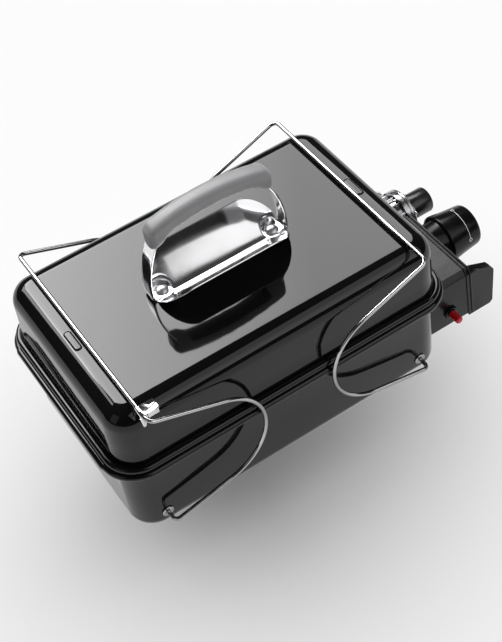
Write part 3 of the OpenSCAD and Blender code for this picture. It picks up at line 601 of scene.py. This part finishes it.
arm_mesh = bpy.data.meshes.new("arm")
arm.to_mesh(arm_mesh)
arm.free()
bracket.from_mesh(arm_mesh)

bmesh.ops.recalc_face_normals(bracket, faces=bracket.faces)
to_metres(bracket, LID_TOP)
make_piece("bright_bracket", bracket, bracket_chrome, "grill", "bright_steel", "handle_bracket", crease=40)

# the screws: domed heads in the cups, shanks down through the lid
screw_steel = new_finish("screw_steel", [(0.50, 0.50, 0.51), (0.42, 0.42, 0.43)], (90, 0.26, 0.4),
                         [(300, 0.000004)], metallic=1.0)
screws = bmesh.new()
tip = screws.verts.new((CUP_X + 0.01, CUP_Y, 7.4))
for out, up in [(1.5, 7.3), (3, 7), (4.5, 6.45), (5.8, 5.75), (6.9, 4.9), (7.8, 3.9), (8.3, 2.9), (8.4, 1.6),
                (2.4, 1.6), (2.4, -9.3), (0.01, -9.3)]:
    tip = pen_line(screws, tip, Vector((CUP_X + out, CUP_Y, up)))
close_spin(screws, screws.edges[:], (CUP_X, CUP_Y, 0), (0, 0, 1), 40)
bmesh.ops.remove_doubles(screws, verts=screws.verts, dist=0.03)
mirror_all(screws, "X", 1e-3)
bmesh.ops.recalc_face_normals(screws, faces=screws.faces)
to_metres(screws, LID_TOP)
make_piece("cup_screws", screws, screw_steel, "grill", "bright_steel", "handle_screws")

# Grip
# Grey satin plastic moulded round the arms' heads: a low arch with a flattish top and a rounded square
# section, hollow below, whose two ends hang down over the arms. The hollow's faces carry painted shade.
grip_grey = new_finish("grip_grey", [(0.25, 0.25, 0.257), (0.275, 0.275, 0.282)], (50, 0.36, 0.46),
                       [(1100, 0.000004), (30, 0.00001)])
# near-black paint for the grip's hollow underside: painted shade in the recess, not the plastic's own colour
hollow_painted_shade = new_finish("hollow_painted_shade", [(0.008, 0.008, 0.008), (0.012, 0.012, 0.012)], (50, 0.6, 0.75),
                          [(900, 0.000004)])
GRIP_MID = 315.6
GRIP_ARCH = 240
GRIP_DEEP = 12.8
GRIP_TALL = 10.3
GRIP_END = 78.6
GRIP_LOBE = 9.5
GRIP_STRAIGHT = 68
HOLLOW_END = 56
HOLLOW_HALF = 0.8
HOLLOW_UP = 7


def end_inset(x, radius):
    """How far the section draws in over the rounded end."""
    past = max(0, x - (GRIP_END - radius))
    return radius - math.sqrt(max(0, radius ** 2 - past ** 2))


def square_off(share):
    """Takes a circle's coordinate to that of a rounded square."""
    return math.copysign(abs(share) ** 0.7, share)


grip = bmesh.new()
bmesh.ops.create_circle(grip, radius=1, segments=56, matrix=Matrix.Rotation(math.pi / 2, 4, "Y"))
edges = grip.edges[:]
for column in range(GRIP_STRAIGHT // 2):
    edges = run_edges(grip, edges, (2, 0, 0))
for column in range(1, 17):
    closer = math.sin(math.pi * column / 32) - math.sin(math.pi * (column - 1) / 32)
    edges = run_edges(grip, edges, ((GRIP_END - GRIP_STRAIGHT) * closer, 0, 0))
# the faces inside the hollow take the second, near-black finish: painted shade in the recess
for face in grip.faces:
    hollow = all(v.co.z < 0 and abs(v.co.y) < HOLLOW_HALF and v.co.x < HOLLOW_END + 0.1 for v in face.verts)
    face.material_index = int(hollow)
for vert in grip.verts:
    x, y, z = vert.co
    swell = min(1, max(0, (x - 50) / 15)) ** 1.6 * GRIP_LOBE
    vert.co.y = square_off(y) * (GRIP_DEEP - end_inset(x, 7.5))
    if z < 0 and abs(y) < HOLLOW_HALF and x < HOLLOW_END:
        vert.co.z = HOLLOW_UP
    elif z > 0:
        vert.co.z = square_off(z) * (GRIP_TALL - end_inset(x, 8))
    else:
        vert.co.z = square_off(z) * (GRIP_TALL + swell - end_inset(x, 6))
        vert.co.x += 0.05 * max(0, -vert.co.z - GRIP_TALL) * (x / GRIP_END) ** 6
    vert.co.z += GRIP_MID - GRIP_ARCH + math.sqrt(GRIP_ARCH ** 2 - x ** 2)
made = bmesh.ops.contextual_create(grip, geom=edges)
bmesh.ops.inset_individual(grip, faces=made["faces"], thickness=0.6)
mirror_all(grip, "X", 1e-3)
bmesh.ops.remove_doubles(grip, verts=grip.verts, dist=1e-3)
bmesh.ops.recalc_face_normals(grip, faces=grip.faces)
to_metres(grip)
arched_grip = make_piece("arched_grip", grip, grip_grey, "grill", "grip", "handle_grip", crease=60)
# the second finish is the painted shade inside the hollow
arched_grip.data.materials.append(hollow_painted_shade)

# Wire legs
# Two legs bent from one length of bright plated wire each: a pin into the bowl's wall at each end, a lower
# run, a round loop, an upper run and one bar across the lid. They fold out over the ends to stand on.
wire_chrome = new_finish("wire_chrome", [(0.92, 0.92, 0.93), (0.86, 0.86, 0.87)], (60, 0.1, 0.18),
                         [(220, 0.000004)], metallic=1.0)
# a grey coat tint over the plating darkens the wire where it turns away: painted shade at its edges, standing
# in for dark reflections of the surroundings
wire_shader = wire_chrome.node_tree.nodes["Principled BSDF"]
wire_shader.inputs["Coat Weight"].default_value = 1.0
wire_shader.inputs["Coat IOR"].default_value = 1.0
wire_shader.inputs["Coat Tint"].default_value = (0.62, 0.62, 0.62, 1)
WIRE_R = 2.5
WIRE_TIP_R = 2.2
WIRE_TIP = 0.5
PIN_END = 125.6
PIN_BEND = 7
BAR_BEND = 9
PIVOT = Vector((-181, 0, 26))
LEG_Y = 152.5
RUN_LOW = math.radians(12.4)
RUN_HIGH = math.radians(21.5)
LOOP_IN = 61.9
BAR_UP = 189.1
loop_r = ((BAR_UP - LOOP_IN * (math.tan(RUN_LOW) + math.tan(RUN_HIGH)))
          / (1 / math.cos(RUN_LOW) + 1 / math.cos(RUN_HIGH)))
loop_up = (loop_r + LOOP_IN * math.sin(RUN_LOW)) / math.cos(RUN_LOW)
low_run = LOOP_IN * math.cos(RUN_LOW) + loop_up * math.sin(RUN_LOW)
high_run = LOOP_IN * math.cos(RUN_HIGH) + (BAR_UP - loop_up) * math.sin(RUN_HIGH)


def bent_leg(side):
    """One leg in metres; side is -1 for the left one and 1 for the right one."""
    bm = bmesh.new()
    low = Vector((math.cos(RUN_LOW), 0, math.sin(RUN_LOW)))
    high = Vector((-math.cos(RUN_HIGH), 0, math.sin(RUN_HIGH)))
    pin = PIVOT + Vector((0, PIN_END, 0))
    tip = Vector((0, WIRE_TIP, 0))
    bmesh.ops.create_circle(bm, cap_ends=True, radius=WIRE_TIP_R, segments=20,
                            matrix=Matrix.Translation(pin) @ Matrix.Rotation(math.pi / 2, 4, "X"))
    edges = run_edges(bm, bm.edges[:], tip)
    verts = list(dict.fromkeys(v for e in edges for v in e.verts))
    bmesh.ops.scale(bm, verts=verts, vec=[WIRE_R / WIRE_TIP_R] * 3, space=Matrix.Translation(-pin - tip))
    edges = run_edges(bm, edges, (0, LEG_Y - PIN_BEND - PIN_END - WIRE_TIP, 0))
    elbow = PIVOT + Vector((0, LEG_Y - PIN_BEND, 0)) + PIN_BEND * low
    edges = turn_edges(bm, edges, elbow, Vector((0, 1, 0)).cross(low), 90, 10)
    edges = run_edges(bm, edges, low * (low_run - PIN_BEND))
    edges = turn_edges(bm, edges, PIVOT + Vector((LOOP_IN, LEG_Y, loop_up)), (0, -1, 0),
                       180 - math.degrees(RUN_LOW + RUN_HIGH), 48)
    edges = run_edges(bm, edges, high * (high_run - BAR_BEND))
    corner = PIVOT + Vector((0, LEG_Y - BAR_BEND, BAR_UP)) - BAR_BEND * high
    edges = turn_edges(bm, edges, corner, high.cross(Vector((0, -1, 0))), 90, 10)
    run_edges(bm, edges, (0, BAR_BEND - LEG_Y, 0))
    mirror_all(bm, "Y", 1e-3)
    bmesh.ops.remove_doubles(bm, verts=bm.verts, dist=1e-3)
    if side > 0:
        bmesh.ops.scale(bm, verts=bm.verts, vec=(-1, 1, 1))
    bmesh.ops.recalc_face_normals(bm, faces=bm.faces)
    to_metres(bm)
    return bm


make_piece("left_wire_leg", bent_leg(-1), wire_chrome, "leg_left", "wire_chrome", "left_leg", crease=60)
make_piece("right_wire_leg", bent_leg(1), wire_chrome, "leg_right", "wire_chrome", "right_leg", crease=60)
make_piece("left_leg_washers", rounded_copy("left_washers", 0.4 * MM), wire_chrome, "leg_left",
           "wire_chrome", "left_washers")
make_piece("right_leg_washers", rounded_copy("right_washers", 0.4 * MM), wire_chrome, "leg_right",
           "wire_chrome", "right_washers")

# Clip
# Bent from thin bright sheet and crimped round the left leg's bar at its front end: a plate, a turned-down
# edge and a tongue that catches on the lid's rim.
make_piece("bar_clip", rounded_copy("leg_clip", 0.3 * MM), bright_steel, "leg_left", "bright_steel",
           "leg_clip")

# Stage
# Plain pale floor, level with the feet of the unfolded legs, so that the grill stands on them there. Soft
# boxes light the grill: two behind, which the lid mirrors, one in front and a weak one at the left.
FLOOR_LEVEL = -153.2 * MM
floor = bmesh.new()
bmesh.ops.create_grid(floor, x_segments=1, y_segments=1, size=80,
                      matrix=Matrix.Translation((0, 0, FLOOR_LEVEL)))
floor_mesh = bpy.data.meshes.new("pale_floor")
floor.to_mesh(floor_mesh)
floor.free()
floor_paint = bpy.data.materials.new("pale_floor")
floor_paint.use_nodes = True
floor_shader = floor_paint.node_tree.nodes["Principled BSDF"]
floor_shader.inputs["Base Color"].default_value = (0.93, 0.93, 0.93, 1)
floor_shader.inputs["Roughness"].default_value = 0.9
floor_shader.inputs["Specular IOR Level"].default_value = 0.1
floor_mesh.materials.append(floor_paint)
floor_plane = bpy.data.objects.new("pale_floor", floor_mesh)
bpy.context.scene.collection.objects.link(floor_plane)

world = bpy.data.worlds.new("studio_room")
world.use_nodes = True
world.node_tree.nodes["Background"].inputs["Color"].default_value = (0.045, 0.045, 0.045, 1)
bpy.context.scene.world = world


def soft_box(name, towards, distance, size, radiance):
    """A rectangular lamp that faces the grill; its strength is given as the radiance of its face."""
    lamp = bpy.data.lights.new(name, "AREA")
    lamp.shape = "RECTANGLE"
    lamp.size, lamp.size_y = size
    lamp.energy = radiance * size[0] * size[1] * math.pi
    box = bpy.data.objects.new(name, lamp)
    towards = Vector(towards).normalized()
    box.matrix_world = (Matrix.Translation(Vector((0, 0, 120 * MM)) + towards * distance)
                        @ towards.to_track_quat("Z", "Y").to_matrix().to_4x4())
    bpy.context.scene.collection.objects.link(box)
    return box


back_box = soft_box("back_soft_box", (0.249, 0.619, 0.745), 2.2, (2.2, 0.95), 1.0)
back_left_box = soft_box("back_left_soft_box", (-0.289, 0.682, 0.674), 2.42, (0.62, 0.95), 6.5)
front_box = soft_box("front_soft_box", (0.32, -0.67, 0.675), 2.2, (2.4, 1.66), 1.0)
left_box = soft_box("left_soft_box", (-0.85, -0.15, 0.45), 2.4, (1.0, 1.6), 0.4)

# an even, soft overhead light for the floor alone, while the boxes leave the floor out
floor_light = bpy.data.lights.new("floor_light", "SUN")
floor_light.energy = 3.25
floor_light.angle = math.radians(110)
floor_lamp = bpy.data.objects.new("floor_light", floor_light)
floor_lamp.matrix_world = Vector((0.12, 0.2, 0.97)).to_track_quat("Z", "Y").to_matrix().to_4x4()
bpy.context.scene.collection.objects.link(floor_lamp)
floor_alone = bpy.data.collections.new("floor_alone")
floor_alone.objects.link(floor_plane)
floor_lamp.light_linking.receiver_collection = floor_alone
all_but_floor = bpy.data.collections.new("all_but_floor")
all_but_floor.objects.link(floor_plane)
all_but_floor.collection_objects[0].light_linking.link_state = "EXCLUDE"
for box in (back_box, back_left_box, front_box, left_box):
    box.light_linking.receiver_collection = all_but_floor


def shade_box(box, axis, from_place, to_place, from_radiance, to_radiance):
    """Lets a soft box's radiance change across its face."""
    box.data.use_nodes = True
    tree = box.data.node_tree
    place = tree.nodes.new("ShaderNodeNewGeometry")
    split = tree.nodes.new("ShaderNodeSeparateXYZ")
    change = tree.nodes.new("ShaderNodeMapRange")
    change.inputs["From Min"].default_value = from_place
    change.inputs["From Max"].default_value = to_place
    change.inputs["To Min"].default_value = from_radiance
    change.inputs["To Max"].default_value = to_radiance
    join(tree, place, "Parametric", split, "Vector")
    join(tree, split, axis, change, "Value")
    join(tree, change, "Result", tree.nodes["Emission"], "Strength")


shade_box(back_box, "X", 0.35, 0.76, 6.0, 13.5)
shade_box(front_box, "Y", 0.3, 0.6, 1.8, 1.15)
